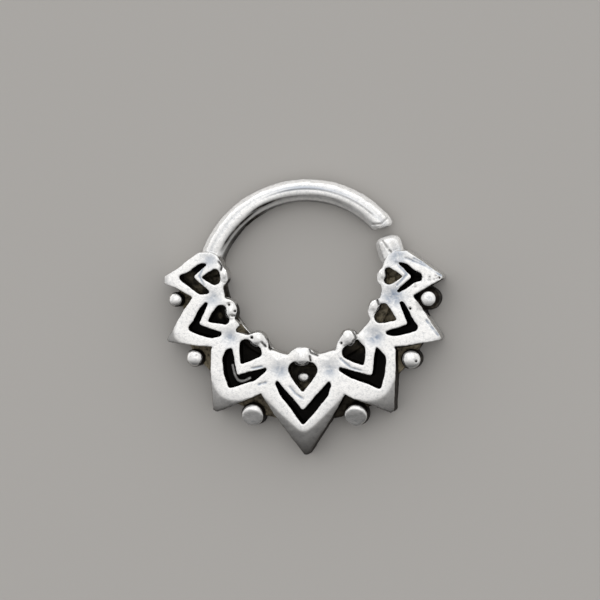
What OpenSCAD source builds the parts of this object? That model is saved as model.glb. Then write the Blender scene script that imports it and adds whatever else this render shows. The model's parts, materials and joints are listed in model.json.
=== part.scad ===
// Septum ring: a sprung wire hoop that carries a lotus panel of seven petals, all one piece of metal.
// It lies on its flat back. +Z points out of the decorated front and +Y towards the hoop, and the
// origin is the centre of the opening, on the back.

/* [Opening and rim] */
// Radius of the opening at the rim that shows behind the petals
opening_r = 4.33; // [3.9:0.01:4.8]
// Width of the rim band
rim_w = 1.1; // [0.8:0.05:1.4]
// Thickness of the rim band, from the back
rim_t = 1.3; // [1.0:0.05:1.6]

/* [Hoop] */
// Diameter of the hoop wire, 16 gauge
wire_d = 1.2; // [1.0:0.05:1.4]
// Height of the hoop's centreline above the centre of the opening
hoop_rise = 4.67; // [4.3:0.01:5.2]
// Direction of the free end from the hoop's own centre, above the right-hand side
free_end_deg = 38.5; // [37:0.5:55]
// How far the free end's rounding is turned towards the opening
end_turn_deg = 18; // [0:1:25]
// Diameter of the stub that faces the free end
stub_d = 1.26; // [1.1:0.02:1.4]
// Length of the stub from its root inside the end petal
stub_len = 1.62; // [1.4:0.02:1.7]
// How far the stub leans towards the opening
stub_lean_deg = 17; // [12:1:24]
// Clearance under the wire when the ring lies on its back
wire_lift = 0.05; // [0.02:0.01:0.2]

/* [Panel] */
// Thickness of the panel
panel_t = 2.0; // [1.8:0.05:2.5]
// Thickness of the metal under the blackened slots and hearts
floor_t = 0.9; // [0.7:0.05:1.1]
// Thickness of the recessed webs behind the outer beads
web_t = 1.0; // [0.7:0.05:1.3]

/* [Bottom petal] */
// Length of the bottom petal from the rim to its tip
petal_len = 5.6; // [5.0:0.05:6.2]
// Half the petal's width at its shoulders
petal_half_w = 2.3; // [2.1:0.05:2.5]
// Thickness left at the tip, where the face has curved down
tip_t = 0.6; // [0.5:0.05:1.0]
// Radius of the flat middle of the face, round the heart
flat_r = 2.8; // [2.5:0.05:3.1]
// Half the width of the heart
heart_half_w = 0.84; // [0.7:0.02:0.9]
// Length of the heart
heart_len = 1.66; // [1.4:0.02:1.8]
// Half the angle between the two arms of each V
arm_deg = 38.5; // [36:0.5:41]
// Width of the inner V rib, between the heart and the slot
inner_rib = 0.62; // [0.5:0.02:0.7]
// Width of the V slot
slot_w = 0.54; // [0.4:0.02:0.6]

/* [Beads] */
// Radius of the bottom petal's inner bead, on the rim
inner_bead_r = 0.5; // [0.4:0.01:0.6]
// How far the inner beads stand above the face
bead_proud = 0.15; // [0.05:0.05:0.3]
// Radius of an outer bead between petals as large as the bottom one
outer_bead_r = 0.65; // [0.5:0.01:0.75]
// How far the outer beads' heads lie below the face
bead_sunk = 0.15; // [0.05:0.05:0.4]

/* [Hidden] */
SILVER = "#c9c8c4";

// One petal of each pair, from the bottom round to the end: degrees from the bottom, size as a share
// of the bottom petal's, and width as a share of what that size would give
TURN = 0;
SIZE = 1;
WIDTH = 2;
PETALS = [
    [0, 1, 1],
    [33.5, 0.835, 1.03],
    [65.2, 0.725, 1.06],
    [88.6, 0.605, 1]
];
LAST = len(PETALS) - 1;

// A petal's edge from its root to its shoulder: share of its length outwards from the rim, and
// share of its half width. The last point is the shoulder, where the bowed side starts.
ROOT_EDGE = [[0.02, 0.3], [0.055, 0.55], [0.11, 0.82], [0.23, 0.97], [0.42, 1]];
// The blunt tip's half width and the bow of the side, as shares of the half width
TIP_HALF = 0.05;
SIDE_BOW = 0.05;
SIDE_STEPS = 6;
// The lobe behind an inner bead: its centre and radius as shares of the petal's length
LOBE_OUT = 0.1;
LOBE_R = 0.165;
// The inner bead's centre and the heart's top, as shares of the petal's length
BEAD_OUT = 0.018;
HEART_OUT = 0.075;
// Where a heart's round shoulder turns into its straight side, seen from the shoulder's centre
HEART_CHEEK_DEG = 70;
// The slot's arms end this far out, narrow from the knee, and have this width left, as shares of the
// petal's length and of the slot's width
SLOT_END = 0.275;
SLOT_KNEE = 0.42;
SLOT_END_W = 0.45;

// An outer bead lies this share of the way from the larger petal to the smaller, and this share of
// their mean length beyond the rim. Its web ends short of its centre by a share of its radius.
NOTCH_TURN = 0.61;
NOTCH_OUT = 0.77;
WEB_SHORT = 0.2;
// Height of a domed head as a share of its radius
DOME = 0.6;
DOME_STEPS = 5;

// Where the hoop meets an end petal, and where the stub is rooted in the other: shares of that
// petal's length outwards and upwards. The hoop runs in by a share of the wire's diameter.
SEAT_OUT = 0.24;
SEAT_UP = 0.4;
SEAT_DEPTH = 0.55;
ROOT_OUT = 0.21;
ROOT_UP = 0.19;

// Cuts run past a face by this much, and the one round the wire's end is wider by this share
PAST = 1;
CUT_WIDER = 1.08;
FINE = 48;

// Petal sizes
function size_of(i) = PETALS[i][SIZE];
function length_of(i) = petal_len * size_of(i);
function half_w_of(i) = petal_half_w * size_of(i) * PETALS[i][WIDTH];

// Notch i lies between petals i and i + 1
function notch_size(i) = (size_of(i) + size_of(i + 1)) / 2;
function notch_turn(i) = PETALS[i][TURN] + NOTCH_TURN * (PETALS[i + 1][TURN] - PETALS[i][TURN]);
function notch_r(i) = opening_r + NOTCH_OUT * petal_len * notch_size(i);
function notch_bead_r(i) = outer_bead_r * notch_size(i);

// The hoop's circle is centred on the ring's middle line, and runs through its top and its seats
end_deg = PETALS[LAST][TURN] - 90;
seat_out = opening_r + SEAT_OUT * length_of(LAST);
seat_up = SEAT_UP * length_of(LAST);
seat = [
    seat_out * cos(end_deg) - seat_up * sin(end_deg),
    seat_out * sin(end_deg) + seat_up * cos(end_deg)
];
hoop_y = (pow(hoop_rise, 2) - pow(norm(seat), 2)) / (2 * (hoop_rise - seat[1]));
hoop_r = hoop_rise - hoop_y;
wire_z = wire_d / 2 + wire_lift;
function wire_deg(length) = length / (hoop_r * PI) * 180;
seat_deg = atan2(seat[1] - hoop_y, seat[0]) - wire_deg(SEAT_DEPTH * wire_d);

// A bowed line from a to b, without b
function bowed(a, b, bow) = [
    for (k = [0:SIDE_STEPS - 1])
        let (t = k / SIDE_STEPS, across = [a[1] - b[1], b[0] - a[0]] / norm(b - a))
            a + t * (b - a) + 4 * t * (1 - t) * bow * across
];

// A closed outline from the half of it that lies on the upper side. Points on the axis stay single.
function both_sides(half) =
    concat(half, [for (k = [len(half) - 1:-1:0]) if (half[k][1] > 0) [half[k][0], -half[k][1]]]);

// Half the outline of a petal that points along +X from the rim
function petal_edge(length, half_w) =
    let (
        root = [for (p = ROOT_EDGE) [p[0] * length, p[1] * half_w]],
        tip = [length, TIP_HALF * half_w]
    )
        concat(
            [for (k = [0:len(root) - 2]) root[k]],
            bowed(root[len(root) - 1], tip, SIDE_BOW * half_w),
            [tip]
        );

// Half the outline of the V slot: its outer edge from the V's point to the arm's end, then the
// inner edge back
function slot_edge(i) =
    let (
        s = size_of(i),
        heart_point = HEART_OUT * length_of(i) + heart_len * s,
        inner_point = heart_point + inner_rib * s / sin(arm_deg),
        outer_point = inner_point + slot_w * s / sin(arm_deg),
        end_x = SLOT_END * length_of(i),
        knee_x = SLOT_KNEE * length_of(i),
        end_y = (inner_point - end_x) * tan(arm_deg),
        knee_y = (outer_point - knee_x) * tan(arm_deg),
        end_w = SLOT_END_W * slot_w * s
    )
        [
            [outer_point, 0],
            [knee_x, knee_y],
            [end_x + end_w, end_y + end_w],
            [end_x, end_y + end_w / 2],
            [inner_point, 0]
        ];

module along_petal(turn) rotate([0, 0, turn - 90]) translate([opening_r, 0, 0]) children();

module both_hands() {
    children();
    mirror([1, 0, 0]) children();
}

// The curve of a domed head, from its rim to its top
function dome(r, top) = [
    for (k = [0:DOME_STEPS])
        let (a = 90 * k / DOME_STEPS) [r * cos(a), top - DOME * r * (1 - sin(a))]
];

// A round post along +Z, with a domed head
module post(r, top)
    rotate_extrude($fn = FINE) polygon(concat([[0, 0], [r, 0]], dome(r, top)));

// A petal's body: its outline at full thickness, with a face that curves down to the tip like a ball
module petal(i) {
    s = size_of(i);
    drop = panel_t - tip_t;
    middle = HEART_OUT * length_of(i) + heart_len * s / 2;
    flat = flat_r * s;
    reach = length_of(i) - middle;
    ball_depth = (pow(reach, 2) - pow(flat, 2) + pow(drop, 2)) / (2 * drop);
    ball_r = sqrt(pow(flat, 2) + pow(ball_depth, 2));
    intersection() {
        linear_extrude(height = panel_t)
            polygon(both_sides(petal_edge(length_of(i), half_w_of(i))));
        translate([middle, 0, panel_t - ball_depth]) sphere(r = ball_r, $fn = FINE);
    }
    translate([LOBE_OUT * length_of(i), 0, 0])
        cylinder(r = LOBE_R * length_of(i), h = panel_t, $fn = FINE);
}

// The pocket of a heart: two round shoulders and a pointed foot
module heart_pocket(i) {
    s = size_of(i);
    top = HEART_OUT * length_of(i);
    round_r = heart_half_w * s / 2;
    centre = [top + round_r, round_r];
    cheek = centre + round_r * [cos(HEART_CHEEK_DEG), sin(HEART_CHEEK_DEG)];
    translate([0, 0, floor_t]) {
        for (side = [-1, 1])
            translate([centre[0], side * centre[1], 0])
                cylinder(r = round_r, h = panel_t, $fn = FINE);
        linear_extrude(height = panel_t)
            polygon(both_sides([[centre[0], 0], cheek, [top + heart_len * s, 0]]));
    }
}

// The pocket of the V slot
module slot_pocket(i)
    translate([0, 0, floor_t])
        linear_extrude(height = panel_t) polygon(both_sides(slot_edge(i)));

// The recessed plate behind an outer bead, from one petal's middle to the next
module web(i)
    rotate([0, 0, PETALS[i][TURN] - 90])
        rotate_extrude(angle = PETALS[i + 1][TURN] - PETALS[i][TURN], $fn = FINE)
            translate([opening_r + rim_w / 2, 0])
                square([notch_r(i) - WEB_SHORT * notch_bead_r(i) - opening_r - rim_w / 2, web_t]);

// The band round the opening, from the middle of one end petal to the middle of the other
module rim() {
    half_deg = PETALS[LAST][TURN];
    rotate([0, 0, -90 - half_deg])
        rotate_extrude(angle = 2 * half_deg, $fn = FINE)
            translate([opening_r, 0]) square([rim_w, rim_t]);
}

module panel() {
    difference() {
        union() {
            rim();
            for (i = [0:LAST - 1]) both_hands() web(i);
            both_hands() for (i = [0:LAST]) along_petal(PETALS[i][TURN]) petal(i);
        }
        both_hands()
            for (i = [0:LAST])
                along_petal(PETALS[i][TURN]) {
                    heart_pocket(i);
                    slot_pocket(i);
                }
    }
    both_hands() {
        for (i = [0:LAST])
            along_petal(PETALS[i][TURN])
                translate([BEAD_OUT * length_of(i), 0, 0])
                    post(inner_bead_r * sqrt(size_of(i)), panel_t + bead_proud);
        for (i = [0:LAST - 1])
            rotate([0, 0, notch_turn(i) - 90])
                translate([notch_r(i), 0, 0]) post(notch_bead_r(i), panel_t - bead_sunk);
    }
}

// A point on the wire's centreline, seen along the wire clockwise
module on_wire(deg)
    translate([hoop_r * cos(deg), hoop_y + hoop_r * sin(deg), wire_z])
        rotate([90, 0, deg])
            children();

// The hoop, from its rounded free end counter-clockwise to the left end petal
module hoop() {
    // The cut that rounds the end is as wide as this, so that it clears the turned wire all round
    cut_r = wire_d / 2 * CUT_WIDER;
    head = DOME * cut_r;
    start_deg = free_end_deg - wire_deg(cut_r);
    difference() {
        translate([0, hoop_y, wire_z])
            rotate([0, 0, start_deg])
                rotate_extrude(angle = 180 - seat_deg - start_deg, $fn = 2 * FINE)
                    translate([hoop_r, 0]) circle(d = wire_d, $fn = FINE);
        on_wire(free_end_deg + wire_deg(head))
            rotate([0, -end_turn_deg, 0])
                rotate_extrude($fn = FINE)
                    polygon(concat(
                        dome(cut_r, head),
                        [[0, head + PAST], [cut_r + PAST, head + PAST], [cut_r + PAST, 0]]
                    ));
    }
}

// The stub on the right end petal, with a rounded end
module stub()
    along_petal(PETALS[LAST][TURN])
        translate([ROOT_OUT * length_of(LAST), ROOT_UP * length_of(LAST), wire_z])
            rotate([-90, 0, stub_lean_deg - end_deg])
                post(stub_d / 2, stub_len);

module septum_ring() color(SILVER) {
    panel();
    hoop();
    stub();
}

septum_ring();
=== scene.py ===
# %% [markdown]
# # A septum ring with a lotus panel
# The ring is cast in one piece: a round wire hoop that springs open, and a panel of seven petals
# with beads between them. It was dipped in a blackening bath and then polished, so the faces are
# bright and the hollows stayed black. This lesson models it in millimetres with bmesh operators,
# fuses the pieces as a casting does, wears it, and gives it one finish of oxidised silver.

import json
import math
from collections import namedtuple

import bmesh
import bpy
import numpy as np
from mathutils import Matrix, Vector, noise
from mathutils.bvhtree import BVHTree


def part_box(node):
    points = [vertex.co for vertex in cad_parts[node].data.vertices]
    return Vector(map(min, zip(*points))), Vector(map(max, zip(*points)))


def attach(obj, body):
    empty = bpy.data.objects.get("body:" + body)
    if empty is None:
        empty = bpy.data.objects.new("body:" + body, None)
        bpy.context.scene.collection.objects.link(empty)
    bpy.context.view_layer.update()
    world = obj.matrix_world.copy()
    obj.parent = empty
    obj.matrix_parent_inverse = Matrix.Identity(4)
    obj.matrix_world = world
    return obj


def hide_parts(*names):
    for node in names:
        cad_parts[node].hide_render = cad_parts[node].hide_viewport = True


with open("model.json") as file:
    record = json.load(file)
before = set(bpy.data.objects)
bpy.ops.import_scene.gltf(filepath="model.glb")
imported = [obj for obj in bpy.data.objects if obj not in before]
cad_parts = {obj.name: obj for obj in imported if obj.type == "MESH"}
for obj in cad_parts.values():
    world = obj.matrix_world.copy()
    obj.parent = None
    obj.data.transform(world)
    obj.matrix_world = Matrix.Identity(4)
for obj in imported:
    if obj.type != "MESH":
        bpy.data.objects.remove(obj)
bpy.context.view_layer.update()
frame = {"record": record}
MM = 0.001
low, high = [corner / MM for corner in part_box("septum_ring")]
mounts = {m["name"]: m for m in frame["record"]["mounts"]}
print("The ring's box in mm:", [round(v, 2) for v in (*low, *high)])

# %% [markdown]
# ## Driving sizes
# The frame gives the wire and the ring's reach. The other sizes are the ones that a model maker
# would read off the casting with a caliper. +Z points out of the decorated front, +Y towards the
# hoop, and the ring lies on its flat back at height 0.

# %% Driving sizes, in mm
WIRE_R = mounts["septum_wire"]["dims"]["r_mm"]
HOOP_TOP = mounts["septum_wire"]["pos_m"][1] / MM
WIRE_HEIGHT = mounts["septum_wire"]["pos_m"][2] / MM
OPENING_R = 4.33
PETAL_LENGTH = -low.y - OPENING_R
PETAL_HALF_WIDTH = 2.3
PANEL = 2.0
FLOOR = 0.92
WEB = 0.97
RIM_WIDTH = 0.75
RIM_HEIGHT = 1.3
print("Bottom petal's length:", round(PETAL_LENGTH, 2), "wire radius:", WIRE_R)

# %% [markdown]
# ## The petals' table
# Every petal is a scaled copy of the bottom one, turned round the opening. A casting from a
# hand-carved model is never quite regular, so each row also has its own small differences. Lengths
# along a petal are shares of that petal's length, out from the rim. Lengths across it are shares
# of its half width, counted towards the hoop. `up` and `down` are the sides towards the hoop and
# away from it.
#
# `rib` is where the face begins to fall to the tip, `soft` how round that V is, `fall` its slope in
# degrees and `haze` how much grey shade is painted beyond the rib. `sweep` bends the petal
# and `blunt` is the width of its tip.
# `heart_` and `slot_` place the two pockets. `end_` is where an arm of the slot ends, `wide_` its
# width, `bulge_` how far its outer side swells and `slot_blunt` half the width of the slot's point.
# `slim_` makes one side of the petal narrower.

# %% The petals, from the left end round the bottom to the right end
Petal = namedtuple(
    "Petal",
    "name turn size width rib soft fall haze sweep blunt heart_top heart_foot heart_half heart_across "
    "slot_in slot_out slot_across end_up end_down wide_up wide_down bulge_up bulge_down slot_blunt "
    "slim_up slim_down",
)
PETALS = [
    Petal("left_end", -88.6, 0.605, 1.00, 0.93, 0.10, 20, 0.35, -0.14, 0.15, 0.09, 0.38, 0.33, -0.02,
          0.528, 0.775, 0.00, 0.29, 0.25, 0.02, 0.05, -0.14, 0.03, 0.12, 0.0, 0.06),
    Petal("left_middle", -65.2, 0.725, 1.06, 0.865, 0.12, 23, 1.05, -0.17, 0.05, 0.08, 0.38, 0.33, -0.08,
          0.52, 0.69, -0.06, 0.275, 0.265, 0.045, 0.055, -0.04, 0.08, 0.09, 0.15, 0.08),
    Petal("left_lower", -33.5, 0.835, 1.03, 0.79, 0.22, 26, 1.0, -0.06, 0.06, 0.07, 0.355, 0.36, 0.07,
          0.50, 0.69, -0.02, 0.26, 0.225, 0.075, 0.04, 0.12, 0.01, 0.07, 0.0, 0.0),
    Petal("bottom", 0, 1, 1.00, 0.755, 0.06, 27, 1.05, 0.16, 0.05, 0.085, 0.382, 0.37, 0.01,
          0.565, 0.712, 0.02, 0.275, 0.27, 0.045, 0.04, 0.04, -0.02, 0.07, 0.0, 0.0),
    Petal("right_lower", 33.5, 0.835, 1.03, 0.775, 0.25, 25, 1.0, 0.0, 0.06, 0.06, 0.36, 0.37, 0.06,
          0.525, 0.72, 0.08, 0.265, 0.225, 0.03, 0.045, 0.08, -0.06, 0.07, -0.04, 0.0),
    Petal("right_middle", 65.2, 0.725, 1.10, 0.95, 0.12, 18, 0.5, 0.04, 0.06, 0.06, 0.355, 0.32, -0.03,
          0.53, 0.69, 0.00, 0.285, 0.285, 0.06, 0.055, -0.02, 0.04, 0.11, 0.15, 0.12),
    Petal("right_end", 88.6, 0.605, 1.06, 0.97, 0.10, 18, 0.4, 0.08, 0.06, 0.06, 0.36, 0.33, 0.04,
          0.525, 0.705, 0.03, 0.275, 0.27, 0.03, 0.05, -0.02, -0.05, 0.19, 0.0, 0.17),
]
print("Petals:", ", ".join(p.name for p in PETALS))


# %% Places on a petal
def length_of(p):
    return PETAL_LENGTH * p.size


def half_width_of(p):
    return PETAL_HALF_WIDTH * p.size * p.width


def upper_side(p):
    """Which way is towards the hoop, across a petal: 1 or -1."""
    return -1 if p.turn < 0 else 1


def sweep_at(p, x):
    """How far a petal's middle line has bent sideways at a distance x from the rim."""
    return upper_side(p) * p.sweep * (x / length_of(p)) ** 2


def on_petal(p):
    """Turns a petal's own frame, along X from the rim, to its place round the opening."""
    return Matrix.Rotation(math.radians(p.turn - 90), 4, "Z") @ Matrix.Translation((OPENING_R, 0, 0))


# %% [markdown]
# ## Three tools for solid work
# Nearly everything here is a plate, as a jeweller would saw it from sheet, or is cut with one. A
# plate could be drawn in the editor. Here a flat outline is pulled up to a height, so that its
# measures can be changed later. A Boolean modifier cuts one solid with another, and freezing writes
# the result into the mesh, so that the next step can build on it.

# %% Plates, cuts and freezing
def to_object(bm, name):
    """Makes an object of a bmesh, with all its faces pointing outwards."""
    bmesh.ops.recalc_face_normals(bm, faces=bm.faces)
    mesh = bpy.data.meshes.new(name)
    bm.to_mesh(mesh)
    bm.free()
    obj = bpy.data.objects.new(name, mesh)
    bpy.context.scene.collection.objects.link(obj)
    return obj


def plate(points, bottom, top, place=Matrix.Identity(4), rounding=0.0):
    """A plate with the given outline, with its upright edges rounded."""
    bm = bmesh.new()
    face = bm.faces.new([bm.verts.new((x, y, bottom)) for x, y in points])
    pulled = bmesh.ops.extrude_face_region(bm, geom=[face])["geom"]
    raised = [v for v in pulled if isinstance(v, bmesh.types.BMVert)]
    bmesh.ops.translate(bm, verts=raised, vec=(0, 0, top - bottom))
    if rounding:
        upright = [e for e in bm.edges if abs(e.verts[0].co.z - e.verts[1].co.z) > 1e-6]
        room = [min(n.calc_length() for n in e.verts[0].link_edges if n is not e) for e in upright]
        for edge, free in zip(upright, room):
            bmesh.ops.bevel(
                bm, geom=[edge], offset=min(rounding, 0.45 * free), segments=4, profile=0.5,
                affect="EDGES", material=-1,
            )
    bmesh.ops.transform(bm, matrix=place, verts=bm.verts)
    return bm


def freeze(obj):
    """Writes what an object's modifiers show into its mesh."""
    bpy.context.view_layer.update()
    seen = obj.evaluated_get(bpy.context.evaluated_depsgraph_get())
    old, obj.data = obj.data, bpy.data.meshes.new_from_object(seen)
    obj.modifiers.clear()
    bpy.data.meshes.remove(old)


def combine(obj, tool, operation):
    """Cuts, keeps or adds what a tool solid covers, and throws the tool away."""
    modifier = obj.modifiers.new("combine", "BOOLEAN")
    modifier.operation = operation
    modifier.object = tool
    modifier.solver = "EXACT"
    freeze(obj)
    bpy.data.objects.remove(tool)


# %% [markdown]
# ## A petal's body
# The petal is a pointed plate with a round lobe at its root. Its face is flat as far as the outer
# rib, a V with a rounded point, and falls away beyond it to a thinner tip. The fall could be
# sculpted, but a grid bent by one formula and used as a cutter gives the even slope that a file
# leaves, the same on every petal.

# %% The petal's outline and its fall
# Half of the outline, as shares of the length and of the half width: the root and the bowed side
ROOT_EDGE = [(0.02, 0.3), (0.055, 0.55), (0.11, 0.82), (0.23, 0.97), (0.42, 1)]
SIDE_BOW = [(0.62, 0.71), (0.82, 0.37)]
# Smoothing takes this much off a tip, in mm
TIP_MELT = 0.05
SLIM_FROM = 0.2
LOBE_OUT = 0.1
LOBE_R = 0.165
# How far a cutter stands above the face, and how far it reaches past a petal's ends and sides
ABOVE = 1.0
PAST_END = 0.5
PAST_SIDE = 0.3
GRID = 0.12
# How gently the face bends over at the rib, in mm
BREAK = 0.1


def beyond_rib(p, x, y):
    """How far a spot on a petal lies beyond the V-shaped edge where its face begins to fall."""
    length = length_of(p)
    across = y - sweep_at(p, x)
    soft = p.soft * length
    return (x - p.rib * length + np.hypot(across, soft) - soft) / math.sqrt(2)


def worn_face(p):
    """A block whose top is the face that the wheel left: a grid, bent down beyond the rib."""
    bm = bmesh.new()
    long = length_of(p) + 2 * PAST_END
    wide = 2 * half_width_of(p) + 2 * PAST_SIDE
    bmesh.ops.create_grid(bm, x_segments=round(long / GRID), y_segments=round(wide / GRID), size=0.5)
    for v in bm.verts:
        x, y = (v.co.x + 0.5) * long - PAST_END, v.co.y * wide
        out = beyond_rib(p, x, y)
        v.co = (x, y, PANEL - math.tan(math.radians(p.fall)) * (out + math.hypot(out, BREAK)) / 2)
    pulled = bmesh.ops.extrude_face_region(bm, geom=bm.faces[:])["geom"]
    lowered = [v for v in pulled if isinstance(v, bmesh.types.BMVert)]
    bmesh.ops.translate(bm, verts=lowered, vec=(0, 0, -PANEL - ABOVE))
    bmesh.ops.transform(bm, matrix=on_petal(p), verts=bm.verts)
    return bm


# %% Petal bodies
def petal_side(p, slim, way):
    """One side of a petal's outline, from the root to the tip; way is 1 or -1."""
    points = []
    for share, edge in [*ROOT_EDGE, *SIDE_BOW, (1 + TIP_MELT / length_of(p), p.blunt)]:
        x = share * length_of(p)
        wide = half_width_of(p) * (1 - slim * (share > SLIM_FROM))
        points.append((x, way * edge * wide + sweep_at(p, x)))
    return points


def petal_body(p):
    """A petal's plate with the round lobe at its root, cut to the worn face."""
    hoop_side = petal_side(p, p.slim_up, upper_side(p))
    far_side = petal_side(p, p.slim_down, -upper_side(p))
    outline = hoop_side + far_side[::-1]
    body = to_object(plate(outline, 0, PANEL + ABOVE, on_petal(p)), p.name)
    lobe = bmesh.new()
    bmesh.ops.create_cone(
        lobe, cap_ends=True, segments=48, radius1=LOBE_R * length_of(p),
        radius2=LOBE_R * length_of(p), depth=PANEL + ABOVE,
        matrix=on_petal(p) @ Matrix.Translation((LOBE_OUT * length_of(p), 0, (PANEL + ABOVE) / 2)),
    )
    combine(body, to_object(lobe, "lobe"), "UNION")
    combine(body, to_object(worn_face(p), "worn_face"), "INTERSECT")
    return body


bodies = {p.name: petal_body(p) for p in PETALS}
print("Petal bodies:", {name: len(b.data.polygons) for name, b in bodies.items()})

# %% [markdown]
# ## Hearts and slots
# A heart and a V-shaped slot are sunk into each petal, to hold the black. They could be insets of
# the face, but a cutter keeps the same shape whatever faces it meets, so they are cut as pockets
# with a flat floor. Their corners are rounded a little, because wax and metal never fill a sharp
# corner. A pocket can reach under the next petal, so each one is also cut from its neighbours.

# %% The outlines of a heart and of a V slot, in a petal's own frame
ARM_SLOPE = math.tan(math.radians(39.5))
# Where the slot's outer side bends, as a share of the petal's length
KNEE = 0.43
SLOT_TRIM = 0.03
SLOT_BLUNT = 0.07
# An arm of the slot ends on a slant: how far out and how far in its end corner lies, in widths
SLANT_OUT = 0.7
SLANT_IN = 0.4
# Half of a heart, as shares of its length and half width; the root bead dents its flat top
HEART_HALF = [(0, 0.6), (0.12, 0.9), (0.3, 1), (0.62, 0.62), (1, 0.06)]


def heart_outline(p):
    """A drop with a blunt top and a pointed foot."""
    top = p.heart_top * length_of(p)
    long = p.heart_foot * length_of(p) - top
    wide = p.heart_half * half_width_of(p)
    shift = upper_side(p) * p.heart_across * half_width_of(p)
    half = [(top + x * long, y * wide) for x, y in HEART_HALF]
    return [(x, y + shift) for x, y in half] + [(x, shift - y) for x, y in reversed(half)]


def slot_outline(p):
    """The V: its outer point, the upper arm, its inner point and the lower arm."""
    length = length_of(p)
    knee = KNEE * length

    def arm(end_share, wide_share, bulge_share):
        end = end_share * length
        width = wide_share * length
        inner_end = (p.slot_in * length - end) * ARM_SLOPE
        outer_knee = (p.slot_out * length - knee) * ARM_SLOPE - SLOT_TRIM
        bulge = bulge_share * half_width_of(p)
        return [
            ((p.slot_out * length + knee) / 2, outer_knee / 2 + bulge),
            (knee, outer_knee + bulge),
            (end + width * SLANT_OUT, inner_end + width),
            (end, inner_end + width * SLANT_IN),
        ]

    up = arm(p.end_up, p.wide_up, p.bulge_up)
    down = [(x, -y) for x, y in reversed(arm(p.end_down, p.wide_down, p.bulge_down))]
    point = p.slot_out * length - SLOT_BLUNT
    outline = [(point, -p.slot_blunt), (point, p.slot_blunt), *up, (p.slot_in * length, 0), *down]
    shift = p.slot_across * half_width_of(p)
    return [(x, upper_side(p) * (y + shift)) for x, y in outline]


# %% Sink the pockets
HEART_ROUNDING = 0.12
SLOT_ROUNDING = 0.13

for k, p in enumerate(PETALS):
    for outline, rounding in ((heart_outline(p), HEART_ROUNDING), (slot_outline(p), SLOT_ROUNDING)):
        for near in PETALS[max(k - 1, 0):k + 2]:
            pocket = plate(outline, FLOOR, PANEL + ABOVE, on_petal(p), rounding)
            combine(bodies[near.name], to_object(pocket, "pocket"), "DIFFERENCE")
print("Pockets sunk:", 2 * len(PETALS))

# %% [markdown]
# ## Rim and webs
# A band runs behind the petals round the opening, and thin plates behind the outer beads tie the
# petals together. Where two petals meet at the rim, the metal ran into the corner and filled it.
# All of these are sectors of a ring. A ring could be cut into sectors with Booleans, but a small
# upright rectangle, spun round the opening, gives each one at once.

# %% Sectors of a ring
SPIN_STEP_DEG = 3


def sector(inner, outer, height, start, end):
    """A flat ring sector between two directions, counted from the bottom in degrees."""
    bm = bmesh.new()
    corners = [(inner, 0, 0), (outer, 0, 0), (outer, 0, height), (inner, 0, height)]
    section = bm.faces.new([bm.verts.new(c) for c in corners])
    first = Matrix.Rotation(math.radians(start - 90), 3, "Z")
    bmesh.ops.rotate(bm, cent=(0, 0, 0), matrix=first, verts=bm.verts)
    bmesh.ops.spin(
        bm, geom=[section], cent=(0, 0, 0), axis=(0, 0, 1), dvec=(0, 0, 0),
        angle=math.radians(end - start), steps=max(2, round((end - start) / SPIN_STEP_DEG)),
        use_merge=False, use_duplicate=False,
    )
    return bm


# %% The notches between petals
# A bead's place: nearer the smaller petal by this share of the turn, and out by this share
NOTCH_TURN = 0.61
NOTCH_OUT = 0.77
# The two petals, the bead's radius and how far it sits off its place, how far a flat head leans and
# how deep it is cut, how olive the web behind it is, and how much of its head stays bright before
# its flank is darkened as painted shade
Notch = namedtuple("Notch", "smaller larger radius shift_x shift_y lean cut stain crown")
NOTCHES = [
    Notch("left_end", "left_middle", 0.41, -0.08, -0.1, 0.0, 0, 1.2, 1.05),
    Notch("left_middle", "left_lower", 0.49, 0.04, 0.0, 0.0, 0, 1.8, 1.0),
    Notch("left_lower", "bottom", 0.65, 0.06, 0.0, 0.42, 0.25, 1.2, 1.2),
    Notch("right_lower", "bottom", 0.66, 0.04, 0.05, 0.45, 0.3, 0.25, 1.2),
    Notch("right_middle", "right_lower", 0.56, -0.13, 0.0, 0.0, 0, 1.8, 0.95),
    Notch("right_end", "right_middle", 0.63, -0.12, 0.02, 0.0, 0, 0.9, 0.64),
]
by_name = {p.name: p for p in PETALS}


def notch_place(notch):
    """An outer bead's direction and its distance from the opening's centre."""
    small, large = by_name[notch.smaller], by_name[notch.larger]
    turn = large.turn + NOTCH_TURN * (small.turn - large.turn)
    return turn, OPENING_R + NOTCH_OUT * PETAL_LENGTH * (small.size + large.size) / 2


print("Beads, in mm from the opening's centre:", [round(notch_place(n)[1], 2) for n in NOTCHES])

# %% Rim, webs and fills
# How far a web's edge lies inside the middle of its bead, as a share of the bead's radius
WEB_SHORT = 0.2
# Metal that ran into the corners between the roots: from and to in degrees, and how far out
FILLED = [(-82, -75, 0.3), (-60, -51, 0.42), (-23, -9, 0.9), (9, 23, 0.9), (41, 56, 0.9), (73, 82, 0.8)]
FILL_BACK = 0.13
FILL_HEIGHT = 1.97

end_turn = PETALS[-1].turn
pieces = list(bodies.values())
pieces.append(to_object(sector(OPENING_R, OPENING_R + RIM_WIDTH, RIM_HEIGHT, -end_turn, end_turn), "rim"))
for notch in NOTCHES:
    turns = sorted((by_name[notch.smaller].turn, by_name[notch.larger].turn))
    reach = notch_place(notch)[1] - WEB_SHORT * notch.radius
    pieces.append(to_object(sector(OPENING_R + RIM_WIDTH / 2, reach, WEB, *turns), "web"))
for start, end, reach in FILLED:
    fill = sector(OPENING_R + FILL_BACK, OPENING_R + reach, FILL_HEIGHT, start, end)
    pieces.append(to_object(fill, "fill"))
print("Rim, webs and fills:", 1 + len(NOTCHES) + len(FILLED))

# %% [markdown]
# ## Beads
# The outer beads are short posts with a domed head, two of them worn flat. The inner ones are
# lumps of metal on the rim, wider along it than across. Each could be a turned profile, but spheres
# and a cylinder are enough, since all of it is fused later.

# %% Posts and lumps
HEAD_BELOW_FACE = 0.15
HEAD_DOME = 0.6


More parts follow.
